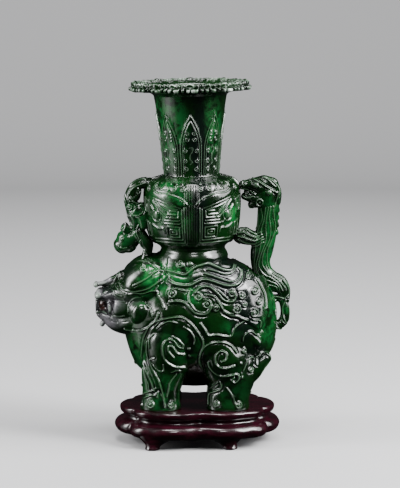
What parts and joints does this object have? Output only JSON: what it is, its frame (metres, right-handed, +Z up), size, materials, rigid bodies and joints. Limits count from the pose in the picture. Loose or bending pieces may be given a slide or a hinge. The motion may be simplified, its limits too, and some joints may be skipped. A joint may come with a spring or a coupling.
{
  "type": "carved stone vase on a mythical beast",
  "caption": "Carved green stone beast carrying a hollow archaic vase with a dragon handle, on a low lobed wooden stand.",
  "frame": {"origin": "on the surface the stand stands on, under the vase's axis and the middle of the whole work", "axes": "+Z up, -X the way the beast looks, -Y the side that is shown to the viewer"},
  "size_m": [0.1382, 0.0865, 0.254],
  "materials": {
    "green_stone": "polished",
    "rosewood": "lacquered"
  },
  "bodies": {
    "root": {"beast_vase_carving": "green_stone", "wooden_stand": "rosewood"}
  },
  "joints": []
}
